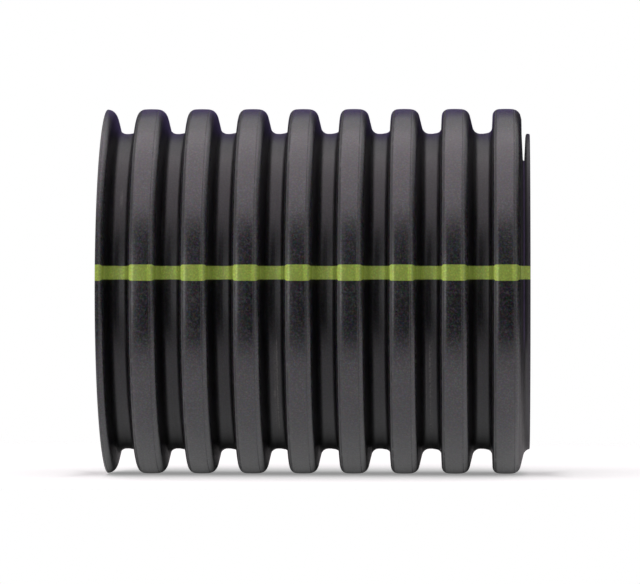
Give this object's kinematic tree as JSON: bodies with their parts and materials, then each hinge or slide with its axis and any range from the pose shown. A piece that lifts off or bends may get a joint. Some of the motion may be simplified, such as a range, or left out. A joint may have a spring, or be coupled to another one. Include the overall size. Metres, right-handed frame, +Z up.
{
  "type": "corrugated drainage pipe",
  "caption": "Short sawn length of black corrugated plastic drainage pipe with square crests, open at both ends, with a green stripe along one side.",
  "frame": {"origin": "on the pipe's axis, half way between its sawn ends", "axes": "+X along the pipe's axis towards the end with the started saw cut, +Z up as the pipe lies, through that saw cut; the stripe is on the -Y side"},
  "size_m": [0.426, 0.368, 0.368],
  "materials": {
    "pipe_wall": "black polyethylene with a dull sheen, and a yellow-green stripe in the skin along one side"
  },
  "bodies": {
    "root": {"corrugated_pipe": "pipe_wall"}
  },
  "joints": []
}
